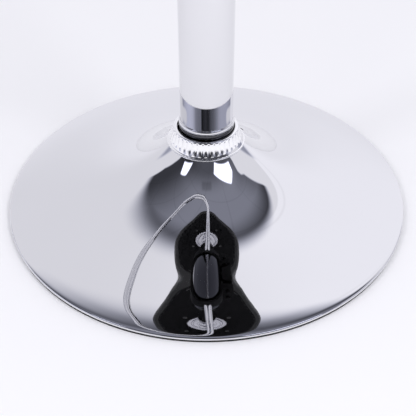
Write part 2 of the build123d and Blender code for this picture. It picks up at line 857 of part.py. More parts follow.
nodes = {
    "base_dish": base_dish,
    "floor_ring": ring_on_floor,
    "ballast_plate": ballast_plate,
    "plate_bolts": plate_bolts,
    "hub_socket": hub_socket,
    "collar_ring": collar_ring,
    "column_tube": column_tube,
    "column_end_plate": column_end_plate,
    "guide_bush": guide_bush,
    "bearing_lower_race": bearing_lower_race,
    "bearing_balls": bearing_balls,
    "ball_cage": ball_cage,
    "bearing_upper_race": bearing_upper_race,
    "bump_stop": bump_stop,
    "rod_washer": rod_washer,
    "rod_clip": rod_clip,
    "piston_rod": piston_rod,
    "piston": piston,
    "gas_cylinder": gas_cylinder,
    "cylinder_guide": cylinder_guide,
    "rod_seal": rod_seal,
    "valve_body": valve_body,
    "release_pin": release_pin,
    "upper_tube": upper_tube,
    "tube_spacers": tube_spacers,
    "cone_socket": cone_socket,
    "cover_disc": cover_disc,
    "mechanism_pan": mechanism_pan,
    "lever_pin": lever_pin,
    "lever_pin_clip": lever_pin_clip,
    "release_lever": release_lever,
    "lever_grip": lever_grip,
    "seat_board": seat_board,
    "tee_nuts": tee_nuts,
    "seat_bolts": seat_bolts,
    "bolt_washers": bolt_washers,
    "seat_foam": seat_foam,
    "seat_cover": seat_cover,
    "dust_cloth": dust_cloth,
    "footrest_bow": footrest_bow,
    "footrest_clamp": footrest_clamp,
    "clamp_screws": clamp_screws,
    "clamp_nuts": clamp_nuts,
}

os.makedirs("parts", exist_ok=True)
for name, make in nodes.items():
    export_step(make(), f"parts/{name}.step")
print("seat top", seat_top, "cylinder low", cylinder_low, "ballast edge", ballast_edge())
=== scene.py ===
import json
import math

import bmesh
import bpy
import numpy as np
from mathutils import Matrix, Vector, bvhtree, geometry, kdtree


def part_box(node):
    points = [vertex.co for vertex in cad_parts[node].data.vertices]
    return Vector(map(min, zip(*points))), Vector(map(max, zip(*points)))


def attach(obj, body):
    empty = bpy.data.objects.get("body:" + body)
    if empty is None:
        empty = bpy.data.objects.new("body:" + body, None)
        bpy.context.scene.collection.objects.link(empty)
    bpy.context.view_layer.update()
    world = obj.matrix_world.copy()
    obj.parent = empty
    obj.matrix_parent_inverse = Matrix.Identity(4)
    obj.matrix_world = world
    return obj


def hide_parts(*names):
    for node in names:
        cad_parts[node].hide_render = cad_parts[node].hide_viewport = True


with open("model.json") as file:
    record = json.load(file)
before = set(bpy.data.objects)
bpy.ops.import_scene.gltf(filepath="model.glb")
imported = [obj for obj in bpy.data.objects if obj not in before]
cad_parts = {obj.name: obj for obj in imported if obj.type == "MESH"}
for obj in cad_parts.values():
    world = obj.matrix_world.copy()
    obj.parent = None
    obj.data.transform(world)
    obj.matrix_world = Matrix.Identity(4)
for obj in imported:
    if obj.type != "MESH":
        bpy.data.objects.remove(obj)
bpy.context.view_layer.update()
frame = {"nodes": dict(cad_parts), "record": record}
scene = bpy.context.scene
nodes = frame["nodes"]
MM = 0.001


def level(node, end):
    """Lowest (end 0) or highest (end 1) height of a node in mm."""
    return round(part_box(node)[end][2] / MM, 3)


def reach(node):
    """How far a node reaches along X in mm, which is the radius of a round one."""
    return round(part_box(node)[1][0] / MM, 3)


# materials

# places of the colour mixer's sockets
MIX_FACTOR, MIX_A, MIX_B, MIX_RESULT = 0, 6, 7, 2


class Net:
    """A node material that is built up from noise, ramps and bumps in the object's own space."""

    def __init__(self, name):
        self.mat = bpy.data.materials.new(name)
        self.mat.use_nodes = True
        self.tree = self.mat.node_tree
        self.bsdf = self.tree.nodes["Principled BSDF"]
        self.place = self.node("ShaderNodeTexCoord").outputs["Object"]

    def node(self, kind, **values):
        n = self.tree.nodes.new(kind)
        for key, value in values.items():
            setattr(n, key, value)
        return n

    def link(self, a, b):
        self.tree.links.new(a, b)

    def set(self, **values):
        for key, value in values.items():
            self.bsdf.inputs[key.replace("_", " ")].default_value = value

    def noise(self, scale, detail=2.0, rough=0.5, vec=None, output="Fac"):
        n = self.node("ShaderNodeTexNoise")
        n.inputs["Scale"].default_value = scale
        n.inputs["Detail"].default_value = detail
        n.inputs["Roughness"].default_value = rough
        self.link(self.place if vec is None else vec, n.inputs["Vector"])
        return n.outputs[output]

    def ramp(self, fac, stops):
        r = self.node("ShaderNodeValToRGB")
        for e, (pos, col) in zip(r.color_ramp.elements, stops):
            e.position = pos
            e.color = (*col, 1.0)
        self.link(fac, r.inputs["Fac"])
        return r.outputs["Color"]

    def paint(self, fac, stops):
        """Base colour that runs between the stops' colours."""
        self.link(self.ramp(fac, stops), self.bsdf.inputs["Base Color"])

    def rough(self, fac, low, high):
        m = self.node("ShaderNodeMapRange")
        m.inputs["To Min"].default_value = low
        m.inputs["To Max"].default_value = high
        self.link(fac, m.inputs["Value"])
        self.link(m.outputs["Result"], self.bsdf.inputs["Roughness"])

    def bump(self, height, strength, distance, chain=None):
        b = self.node("ShaderNodeBump")
        b.inputs["Strength"].default_value = strength
        b.inputs["Distance"].default_value = distance
        self.link(height, b.inputs["Height"])
        if chain is not None:
            self.link(chain, b.inputs["Normal"])
        self.link(b.outputs["Normal"], self.bsdf.inputs["Normal"])
        return b.outputs["Normal"]

    def above(self, height, upper, lower):
        """One colour above a height, another socket's colour below it."""
        split = self.node("ShaderNodeSeparateXYZ")
        self.link(self.place, split.inputs[0])
        test = self.node("ShaderNodeMath", operation="GREATER_THAN")
        test.inputs[1].default_value = height
        self.link(split.outputs["Z"], test.inputs[0])
        mix = self.node("ShaderNodeMix", data_type="RGBA")
        self.link(test.outputs[0], mix.inputs[MIX_FACTOR])
        self.link(lower, mix.inputs[MIX_A])
        mix.inputs[MIX_B].default_value = (*upper, 1.0)
        return mix.outputs[MIX_RESULT]


def scaled(colour, by):
    return tuple(c * by for c in colour)


def chrome(name, colour, low, high, bump=0.0, band=None):
    """Plated metal: a near mirror with faint polishing haze.

    The band, if given, is a painted reflection: the colour of a dark upper part that stands in for
    the black seat mirrored in the metal, and the height where that part starts.
    """
    m = Net(name)
    m.set(Metallic=1.0)
    tint = m.ramp(m.noise(9.0, 3.0), [(0.3, colour), (0.75, scaled(colour, 0.985))])
    # painted reflection: above the band's height the colour is dark, for the black seat seen in the
    # mirror
    if band:
        dark, height = band
        tint = m.above(height, dark, tint)
    m.link(tint, m.bsdf.inputs["Base Color"])
    m.rough(m.noise(22.0, 4.0), low, high)
    if bump:
        m.bump(m.noise(60.0, 2.0), 0.05, bump)
    return m.mat


def plastic(name, colour, rough, grain=900.0, strength=0.12, shine=0.5):
    """Moulded, painted or oiled surface with a fine grain."""
    m = Net(name)
    m.set(Specular_IOR_Level=shine)
    m.paint(m.noise(35.0, 3.0), [(0.3, colour), (0.8, scaled(colour, 1.25))])
    m.rough(m.noise(120.0, 3.0), rough - 0.06, rough + 0.08)
    m.bump(m.noise(grain, 2.0), strength, 0.0002)
    return m.mat


def leatherette():
    """Coated cloth with a fine pebbled grain and a soft sheen."""
    m = Net("black_leatherette")
    m.paint(m.noise(14.0, 4.0, 0.6), [(0.3, (0.006, 0.006, 0.0065)), (0.72, (0.011, 0.011, 0.012))])
    warp = m.node("ShaderNodeVectorMath", operation="MULTIPLY_ADD")
    m.link(m.noise(260.0, output="Color"), warp.inputs[0])
    warp.inputs[1].default_value = (0.0012, 0.0012, 0.0012)
    m.link(m.place, warp.inputs[2])
    cell = m.node("ShaderNodeTexVoronoi", feature="DISTANCE_TO_EDGE")
    cell.inputs["Scale"].default_value = 620.0
    m.link(warp.outputs["Vector"], cell.inputs["Vector"])
    crease = m.ramp(cell.outputs["Distance"], [(0.0, (0, 0, 0)), (0.16, (1, 1, 1))])
    first = m.bump(crease, 0.35, 0.00022)
    m.bump(m.noise(26.0, 3.0), 0.12, 0.0012, first)
    m.rough(m.noise(60.0, 3.0), 0.36, 0.5)
    m.set(Sheen_Weight=0.04, Sheen_Roughness=0.4, Coat_Weight=0.03, Coat_Roughness=0.35,
          Specular_IOR_Level=0.3)
    return m.mat


def porous(name, stops, scale, detail, rough, strength, distance, stretch=None, **values):
    """Rough stuff whose colour and relief follow one noise: felted cloth, wood grain or foam."""
    m = Net(name)
    vec = None
    if stretch:
        mapping = m.node("ShaderNodeMapping")
        mapping.inputs["Scale"].default_value = stretch
        m.link(m.place, mapping.inputs["Vector"])
        vec = mapping.outputs["Vector"]
    fibres = m.noise(scale, detail, rough, vec)
    m.paint(fibres, stops)
    m.bump(fibres, strength, distance)
    m.set(**values)
    return m.mat


TUBE_CHROME = (0.80, 0.80, 0.815)
# painted reflection of the black seat on the column: its dark colour and the height in m where it
# starts
SEAT_REFLECTION_DARK = (0.07, 0.07, 0.078)
SEAT_REFLECTION_FROM = 0.238
BLACK_CLOTH = (0.004, 0.004, 0.0045)
mats = {
    "dish": chrome("dish_chrome", (0.82, 0.82, 0.835), 0.008, 0.02),
    "tube": chrome("tube_chrome", TUBE_CHROME, 0.01, 0.03),
    "column": chrome("column_chrome", TUBE_CHROME, 0.01, 0.03, band=(SEAT_REFLECTION_DARK, SEAT_REFLECTION_FROM)),
    "bow": chrome("bow_chrome", (0.62, 0.62, 0.645), 0.02, 0.05),
    # painted shade: the hub socket's chrome is made near black for the shade below the bead round
    # the column
    "hub": chrome("hub_chrome_painted_shade", (0.09, 0.09, 0.096), 0.05, 0.1),
    "cup": chrome("cup_chrome", (0.50, 0.50, 0.53), 0.04, 0.08),
    "trim": chrome("trim_chrome", (0.97, 0.97, 0.975), 0.06, 0.12),
    # painted shade: near black metal for the dark gap between the column and the collar's hole
    "gap_shade": chrome("gap_shade_steel", (0.09, 0.09, 0.095), 0.35, 0.5),
    "steel": chrome("ground_steel", (0.56, 0.56, 0.57), 0.22, 0.36, 0.00005),
    "zinc": chrome("zinc_plate", (0.60, 0.61, 0.62), 0.26, 0.42, 0.0001),
    "paint": plastic("black_satin_paint", (0.006, 0.006, 0.0065), 0.62, 600.0, 0.08, 0.04),
    "rubber": plastic("black_rubber", (0.012, 0.012, 0.012), 0.78, 500.0, 0.25),
    "nylon": plastic("black_nylon", (0.016, 0.016, 0.017), 0.5),
    "grip": plastic("black_grip", (0.014, 0.014, 0.015), 0.42, 1400.0, 0.2),
    "leather": leatherette(),
    "thread": plastic("black_thread", (0.010, 0.010, 0.011), 0.6, 1800.0, 0.3),
    "cloth": porous("dust_cloth_black", [(0.35, BLACK_CLOTH), (0.7, scaled(BLACK_CLOTH, 1.9))],
                    900.0, 6.0, 0.7, 0.5, 0.0004, Roughness=0.95, Specular_IOR_Level=0.1),
    "oxide": plastic("black_oxide", (0.010, 0.010, 0.011), 0.35, 500.0, 0.08),
    "ply": porous("plywood_edge", [(0.3, (0.34, 0.22, 0.12)), (0.7, (0.62, 0.46, 0.29))],
                  12.0, 6.0, 0.6, 0.2, 0.0003, stretch=(1.0, 9.0, 60.0), Roughness=0.7),
    "foam": porous("foam_cells", [(0.3, (0.62, 0.55, 0.34)), (0.7, (0.86, 0.79, 0.58))],
                   700.0, 4.0, 0.7, 0.6, 0.0004, Roughness=0.95),
}
slot_mat = {
    "chrome_steel": "tube", "trim_chrome": "trim", "bright_steel": "steel", "zinc_steel": "zinc",
    "black_steel": "paint", "black_rubber": "rubber", "black_nylon": "nylon", "black_grip": "grip",
    "leatherette": "leather", "dark_cloth": "cloth", "plywood": "ply", "foam": "foam",
}
own_kind = {
    "seat_bolts": "oxide", "bolt_washers": "oxide", "column_tube": "column", "footrest_bow": "bow",
    "cover_disc": "cup", "hub_socket": "hub",
}
for sub in frame["record"]["subparts"]:
    kind = own_kind.get(sub["node"], slot_mat[sub["material_slot"]])
    for s in nodes[sub["node"]].material_slots:
        s.material = mats[kind]


# mesh tools
def new_mesh(name, verts, faces, mat, smooth=True):
    me = bpy.data.meshes.new(name)
    me.from_pydata([tuple(v) for v in verts], [], [tuple(f) for f in faces])
    me.update()
    me.materials.append(mats[mat])
    for p in me.polygons:
        p.use_smooth = smooth
    ob = bpy.data.objects.new(name, me)
    scene.collection.objects.link(ob)
    return ob


def lathe(name, profile, steps, mat, change=None):
    """Closed profile of (radius, height) points in metres, turned about Z.

    change may move each point, by its place in the profile and its angle.
    """
    verts, faces = [], []
    rows = len(profile)
    for k in range(steps):
        a = 2 * math.pi * k / steps
        for j, (r, z) in enumerate(profile):
            if change:
                r, z = change(j, a, r, z)
            verts.append((r * math.cos(a), r * math.sin(a), z))
    for k in range(steps):
        n = (k + 1) % steps
        for j in range(rows):
            i = (j + 1) % rows
            faces.append((k * rows + j, n * rows + j, n * rows + i, k * rows + i))
    return new_mesh(name, verts, faces, mat)


def metres(points, up=0.0):
    """Points in mm, raised by up, as points in metres."""
    return [(r * MM, (z + up) * MM) for r, z in points]


def rod_faces(rows, count, base=0):
    """Faces round a rod of rows with count points each, with both ends closed."""
    faces = []
    for j in range(rows - 1):
        here, ahead = base + j * count, base + (j + 1) * count
        for k in range(count):
            m = (k + 1) % count
            faces.append((here + k, here + m, ahead + m, ahead + k))
    faces.append(tuple(base + k for k in range(count - 1, -1, -1)))
    faces.append(tuple(base + (rows - 1) * count + k for k in range(count)))
    return faces


def read_points(me):
    co = np.empty(len(me.vertices) * 3)
    me.vertices.foreach_get("co", co)
    return co.reshape(-1, 3)


def read_normals(me):
    return np.array([v.normal[:] for v in me.vertices])


def write_points(me, co):
    me.vertices.foreach_set("co", co.ravel())
    me.update()


def settle(ob, mod):
    """Replaces the mesh by the modified one."""
    deps = bpy.context.evaluated_depsgraph_get()
    deps.update()
    done = bpy.data.meshes.new_from_object(ob.evaluated_get(deps), depsgraph=deps)
    ob.modifiers.remove(mod)
    old = ob.data
    ob.data = done
    bpy.data.meshes.remove(old)


def modify(ob, kind, **values):
    mod = ob.modifiers.new(kind.lower(), kind)
    for key, value in values.items():
        setattr(mod, key, value)
    settle(ob, mod)


def tree_of(me):
    return bvhtree.BVHTree.FromPolygons([v.co[:] for v in me.vertices],
                                        [p.vertices[:] for p in me.polygons])


def smooth_step(x, low, high):
    t = np.clip((x - low) / (high - low), 0, 1)
    return t * t * (3 - 2 * t)


def inside(point, loop):
    x, y = point
    odd = False
    for (x0, y0), (x1, y1) in zip(loop, loop[1:] + loop[:1]):
        if (y0 > y) != (y1 > y) and x < (x1 - x0) * (y - y0) / (y1 - y0) + x0:
            odd = not odd
    return odd


# chrome dish

# radius in mm and slope in degrees of the dish's outer face, from neck to rim
SLOPES = (
    (26, 57.4), (38, 49.4), (50, 42.0), (65, 34.5), (85, 25.0), (105, 16.94), (118, 12.47),
    (130, 10.05), (142, 8.95), (154, 8.6), (166, 9.1), (175, 10.7), (184.5, 12.95), (190.5, 15.0),
    (194, 16.6), (196.18, 20.0),
)
NECK_R = 28.7
LINE_END = (196.18, 5.88)
LINE_STEPS = 900
DISH_ROWS = 150
DISH_TURN_STEPS = 360
SHEET = 1.8
RIM_R = 2.0
RIM_CENTRE = (reach("base_dish") - RIM_R, 4.0)
RIM_LEAN = 20.0
RIM_TURN = 252
RIM_STEPS = 18


def natural_spline(xs, ys, at):
    """Natural cubic spline through the given points."""
    xs, ys, at = np.array(xs, float), np.array(ys, float), np.array(at, float)
    n = len(xs)
    h = np.diff(xs)
    a = np.zeros((n, n))
    b = np.zeros(n)
    a[0, 0] = a[-1, -1] = 1.0
    for i in range(1, n - 1):
        a[i, i - 1], a[i, i], a[i, i + 1] = h[i - 1], 2 * (h[i - 1] + h[i]), h[i]
        b[i] = 6 * ((ys[i + 1] - ys[i]) / h[i] - (ys[i] - ys[i - 1]) / h[i - 1])
    m = np.linalg.solve(a, b)
    k = np.clip(np.searchsorted(xs, at) - 1, 0, n - 2)
    t = at - xs[k]
    c1 = (ys[k + 1] - ys[k]) / h[k] - h[k] * (2 * m[k] + m[k + 1]) / 6
    return ys[k] + c1 * t + m[k] / 2 * t**2 + (m[k + 1] - m[k]) / (6 * h[k]) * t**3


def dish_line():
    """Outer line of the dish, radius and height in mm, with its slope in radians."""
    end_r, end_z = LINE_END
    r = np.linspace(NECK_R, end_r, LINE_STEPS)
    slope = np.radians(natural_spline([p[0] for p in SLOPES], [p[1] for p in SLOPES], r))
    t = np.tan(slope)
    z = np.concatenate([[0], -np.cumsum((t[1:] + t[:-1]) / 2 * np.diff(r))])
    return r, z - z[-1] + end_z, slope


def make_dish():
    """Spun dish: its outer face, a rolled rim and its inner face a sheet further in."""
    r, z, slope = dish_line()
    pick = np.linspace(0, len(r) - 1, DISH_ROWS).astype(int)
    outer = [(r[i] * MM, z[i] * MM) for i in pick]
    start = math.pi / 2 - math.radians(RIM_LEAN)
    rim = []
    for k in range(1, RIM_STEPS):
        a = start - k / RIM_STEPS * math.radians(RIM_TURN)
        rim.append((RIM_CENTRE[0] + RIM_R * math.cos(a), RIM_CENTRE[1] + RIM_R * math.sin(a)))
    inner = []
    for i in pick[::-1][3::3]:
        inner.append((r[i] - SHEET * math.sin(slope[i]), z[i] - SHEET * math.cos(slope[i])))
    dish = lathe("dish_shell", outer + metres(rim) + metres(inner), DISH_TURN_STEPS, "dish")
    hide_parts("base_dish")
    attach(dish, "base")


# turned trims

# height by which the collar ring sits lower here, to follow the dish's line
COLLAR_DROP = 0.4
RIBS = 36
RIB_DEPTH = 0.30
RIB_SINK = 0.12
RIB_SHARPNESS = 0.25
RIB_RUN_OUT = 6
COLLAR_TURN_STEPS = 1080
WALL_STEPS = 24
WALL_FOOT = (34.8, 3.1)
WALL_LEAN = 3.7
WALL_HOLLOW = 0.35
CROWN_DEPTH = 1.3


def make_collar():
    """Fluted trim ring: flat foot, leaning wall with rounded ribs, narrow flat top round a hole."""
    low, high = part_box("collar_ring")
    z0, z1 = low[2] / MM, high[2] / MM
    top = z1 - z0
    line = [(36.9, 0.0), (37.3, 0.12), (37.5, 0.45), (37.5, 0.95), (37.36, 1.28), (37.05, 1.48),
            (36.5, 1.6), (35.9, 1.68), (35.45, 1.8), (35.15, 2.05)]
    wall = [(35.0, 2.4), (34.86, 2.9)]
    foot_r, foot_z = WALL_FOOT
    for k in range(1, WALL_STEPS):
        t = k / WALL_STEPS
        wall.append((foot_r - WALL_LEAN * t - WALL_HOLLOW * math.sin(math.pi * t),
                     foot_z + (top - CROWN_DEPTH - foot_z) * t))
    crown = [(30.95, 1.0), (30.75, 0.62), (30.45, 0.3), (30.0, 0.1), (29.4, 0.02), (28.6, 0.0),
             (28.05, 0.03), (27.7, 0.15), (27.45, 0.38), (27.32, 0.7)]
    hole = [(27.3, 1.1), (27.3, 2.2), (28.5, 3.4), (30.5, 6.0)]
    hole_foot = [(32.2, 4.0), (33.0, 0.6), (34.0, 0.1)]
    below_top = [(r, top - depth) for r, depth in crown + hole]
    profile = metres([(r, z + z0 - COLLAR_DROP) for r, z in line + wall + below_top + hole_foot])
    first, last = len(line) + 1, len(line) + len(wall) + 2

    def ribbed(j, angle, r, z):
        if not first <= j < last:
            return r, z
        share = min((j - first + 1) / RIB_RUN_OUT, max(0.0, (last - j) / RIB_RUN_OUT))
        run_in = float(smooth_step(np.array(share), 0.0, 1.0))
        wave = math.cos(RIBS * angle) - RIB_SHARPNESS * math.cos(2 * RIBS * angle)
        return r + (RIB_DEPTH * run_in * wave - RIB_SINK * run_in) * MM, z

    ring = lathe("collar_trim", profile, COLLAR_TURN_STEPS, "trim", ribbed)
    # the hole's wall is coloured near black: painted shade for the dark gap between column and
    # collar
    ring.data.materials.append(mats["gap_shade"])
    rows = len(profile)
    hidden = rows - len(hole + hole_foot) - 1
    for p in ring.data.polygons:
        if hidden <= p.index % rows < rows - 1:
            p.material_index = 1
    co = read_points(ring.data)
    co[:, 1] += (low[1] + high[1]) / 2
    write_points(ring.data, co)
    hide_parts("collar_ring")
    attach(ring, "base")


COLUMN_R = reach("column_tube")
HUB_TOP = level("hub_socket", 1)
BEAD_INNER_R = COLUMN_R + 0.05
BEAD_FOOT_R = COLUMN_R + 1.35
BEAD_FOOT = HUB_TOP - 3.3
BEAD_END = HUB_TOP + 1.18
BEAD_CENTRE = (COLUMN_R + 0.3, HUB_TOP - 1.8)
BEAD_W, BEAD_H = 1.35, 3.0
BEAD_START, BEAD_TURN = -5, 95
BEAD_STEPS = 12


def make_bead():
    """Rounded weld bead, ground and plated, where the column leaves its socket."""
    line = [(BEAD_INNER_R, BEAD_FOOT), (BEAD_FOOT_R, BEAD_FOOT)]
    for k in range(BEAD_STEPS + 1):
        a = math.radians(BEAD_START + k * BEAD_TURN / BEAD_STEPS)
        line.append((BEAD_CENTRE[0] + BEAD_W * math.cos(a), BEAD_CENTRE[1] + BEAD_H * math.sin(a)))
    line.append((BEAD_INNER_R, BEAD_END))
    bead = lathe("hub_bead", metres(line), 360, "tube")
    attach(bead, "base")


CUP_HOLE_R = 18.0


def make_cup():
    """Spun cup under the pan, with two steps that show as rings from below."""
    low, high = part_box("cover_disc")
    hole, edge = CUP_HOLE_R, high[0] / MM
    under = [(hole, 0.3), (hole + 0.5, 0.0), (27.0, 0.35), (27.5, 0.6), (27.8, 1.1), (28.6, 4.4),
             (29.0, 4.9), (29.6, 5.15), (39.0, 5.5), (39.5, 5.75), (39.8, 6.2), (41.2, 10.2),
             (41.6, 10.6), (42.2, 10.75), (edge - 2.4, 9.2), (edge - 1.6, 8.6), (edge - 1.2, 7.6),
             (edge - 0.9, 6.2), (edge - 0.5, 5.98), (edge - 0.1, 6.2), (edge, 6.8), (edge, 11.4),
             (edge - 0.3, 12.2), (edge - 1.0, 12.8), (edge - 2.0, 13.0)]
    over = [(43.0, 13.0), (40.6, 12.2), (38.6, 7.4), (29.0, 6.6), (26.8, 2.0), (hole, 1.8)]
    cup = lathe("cover_cup", metres(under + over, low[2] / MM), 180, "cup")
    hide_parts("cover_disc")
    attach(cup, "seat")


# seat outline
SEAT_HALF = (228.0, 175.0)
# one side of the seat's outline from its front to its back, as shares of the half lengths
SEAT_SIDE = (
    (1.0, 0.0), (0.972, 0.257), (0.878, 0.437), (0.71, 0.592), (0.526, 0.743), (0.329, 0.88),
    (0.132, 0.975), (-0.045, 1.0), (-0.215, 0.983), (-0.36, 0.935), (-0.5, 0.865), (-0.642, 0.792),
    (-0.78, 0.73), (-0.895, 0.67), (-0.961, 0.605), (-0.988, 0.505), (-0.997, 0.35),
    (-1.0, 0.175), (-1.0, 0.0),
)
SPLINE_STEPS = 60


def closed_spline(points, count):
    """Even points along the periodic cubic spline through the given points."""
    p = np.array(points, float)
    n = len(p)
    h = np.linalg.norm(np.roll(p, -1, 0) - p, axis=1)
    a = np.zeros((n, n))
    rhs = np.zeros((n, p.shape[1]))
    for i in range(n):
        before, after = h[i - 1], h[i]
        a[i, i - 1] += before
        a[i, i] += 2 * (before + after)
        a[i, (i + 1) % n] += after
        rhs[i] = 6 * ((p[(i + 1) % n] - p[i]) / after - (p[i] - p[i - 1]) / before)
    m = np.linalg.solve(a, rhs)
    fine = []
    for i in range(n):
        j = (i + 1) % n
        for t in np.linspace(0, h[i], SPLINE_STEPS, endpoint=False):
            s = h[i] - t
            fine.append((m[i] * s**3 + m[j] * t**3) / (6 * h[i])
                        + (p[i] / h[i] - m[i] * h[i] / 6) * s
                        + (p[j] / h[i] - m[j] * h[i] / 6) * t)
    fine = np.array(fine + [fine[0]])
    run = np.concatenate([[0], np.cumsum(np.linalg.norm(np.diff(fine, axis=0), axis=1))])
    at = np.linspace(0, run[-1], count, endpoint=False)
    return np.stack([np.interp(at, run, fine[:, k]) for k in range(p.shape[1])], axis=1)


def seat_ring(inset, count=240):
    """Outline of the seat in mm, drawn in by inset."""
    hx, hy = SEAT_HALF[0] - inset, SEAT_HALF[1] - inset
    side = [(x * hx, y * hy) for x, y in SEAT_SIDE]
    return closed_spline(side + [(x, -y) for x, y in reversed(side[1:-1])], count)


# cushion
COVER_LOW = level("seat_cover", 0)
CUSHION_H = 76.0
FOAM_LOW = level("seat_foam", 0) + 0.2
# share of the height and inset in mm of the cushion's side, from below to the top
CUSHION_LINE = (
    (0.0, 15.0), (0.06, 9.0), (0.125, 4.5), (0.289, -0.5), (0.461, -3.5), (0.618, -4.0),
    (0.74, -1.5), (0.80, 2.0), (0.855, 9.0), (0.91, 21.0), (0.95, 36.0), (0.975, 56.0),
    (0.99, 84.0), (1.0, 120.0),
)
CUSHION_LIFT = 0.15
SWELL_ROOM = 3.5
VOXEL = 0.005
FLAT_BELOW = 2.2
FLAT_LIFT = 0.1
HELD_BELOW = 15.0
SWELL_FRAMES = 20
SWELL_PRESSURE = 4.0
SWELL_CAP = 0.006
SEAM_SHARE = 0.785
SEAM_DEPTH = 1.5
SEAM_WIDTH = 2.3
PUCKERS, PUCKER_H, PUCKER_WIDTH = 96, 0.25, 6.0
GATHERS, GATHER_H = 61, 0.35
GATHER_SWAY, GATHER_SWAYS = 1.7, 7
GATHER_FROM, GATHER_FADE, GATHER_END = 1.0, 3.0, 12.0
RAYS_OUTSIDE, RAYS_INSIDE = -25.0, 90.0
SEAM_RAYS, STITCH_RAYS = 600, 1500
STITCH_OFFSETS = (-3.6, 3.4)
STITCH, STITCH_GAP, THREAD_R = 5.0, 1.7, 0.42
STITCH_ROWS, THREAD_SIDES = 6, 8
LOOK_AHEAD = 0.0005
FOAM_INSET = 2.4
MOUTH_INSET = 38.0
MOUTH_BELOW = 0.8
COVER_SKIN = 0.0009


def swell(ob, pinned, pressure, cap):
    """Cloth under inner pressure; pinned points are held and none moves further than cap."""
    group = ob.vertex_groups.new(name="pin")
    group.add([int(i) for i in pinned], 1.0, "REPLACE")
    start = read_points(ob.data)
    mod = ob.modifiers.new("cloth", "CLOTH")
    mod.settings.quality = 6
    mod.settings.mass = 0.3
    mod.settings.tension_stiffness = 15
    mod.settings.compression_stiffness = 15
    mod.settings.shear_stiffness = 5
    mod.settings.bending_stiffness = 0.6
    mod.settings.vertex_group_mass = "pin"
    mod.settings.use_pressure = True
    mod.settings.uniform_pressure_force = pressure
    mod.settings.effector_weights.gravity = 0
    mod.point_cache.frame_start = 1
    mod.point_cache.frame_end = SWELL_FRAMES
    for f in range(1, SWELL_FRAMES + 1):
        scene.frame_set(f)
    settle(ob, mod)
    scene.frame_set(1)
    moved = read_points(ob.data) - start
    far = np.linalg.norm(moved, axis=1)
    scale = np.where(far > cap, cap / np.maximum(far, 1e-9), 1.0)
    write_points(ob.data, start + moved * scale[:, None])


def around(tree, height, count):
    """Points of the surface at a height, all round the seat, and the way outward there."""
    points, outs = [], []
    starts, ends = seat_ring(RAYS_OUTSIDE, count), seat_ring(RAYS_INSIDE, count)
    for (x0, y0), (x1, y1) in zip(starts, ends):
        start = Vector((x0 * MM, y0 * MM, height))
        ray = Vector((x1 * MM, y1 * MM, height)) - start
        hit, normal, _, _ = tree.ray_cast(start, ray.normalized())
        if hit is None:
            continue
        points.append(hit)
        outs.append(normal if normal.dot(ray) < 0 else -normal)
    return points, outs


def add_stitches(verts, faces, points, outs):
    """Adds the stitches along a closed line of points on a surface to the points and faces."""
    length, radius = STITCH * MM, THREAD_R * MM
    steps = [0.0]
    for a, b in zip(points, points[1:] + points[:1]):
        steps.append(steps[-1] + (b - a).length)
    total = steps[-1]
    number = int(total / (length + STITCH_GAP * MM))
    pitch = total / number
    xs = np.array([p[:] for p in points + points[:1]])
    ns = np.array([q[:] for q in outs + outs[:1]])

    def at(run):
        run %= total
        return (Vector([np.interp(run, steps, xs[:, k]) for k in range(3)]),
                Vector([np.interp(run, steps, ns[:, k]) for k in range(3)]).normalized())

    for i in range(number):
        faces += rod_faces(STITCH_ROWS, THREAD_SIDES, len(verts))
        for j in range(STITCH_ROWS):
            share = j / (STITCH_ROWS - 1)
            run = i * pitch + share * length
            place, up = at(run)
            ahead = (at(run + LOOK_AHEAD)[0] - place).normalized()
            side = ahead.cross(up).normalized()
            bow = math.sin(math.pi * share)
            rad = radius * (0.45 + 0.55 * bow ** 0.4 if 0 < share < 1 else 0.35)
            mid = place + up * radius * (bow * 0.9 - 0.45)
            for k in range(THREAD_SIDES):
                w = 2 * math.pi * k / THREAD_SIDES
                verts.append(tuple(mid + side * rad * math.cos(w) + up * rad * math.sin(w)))


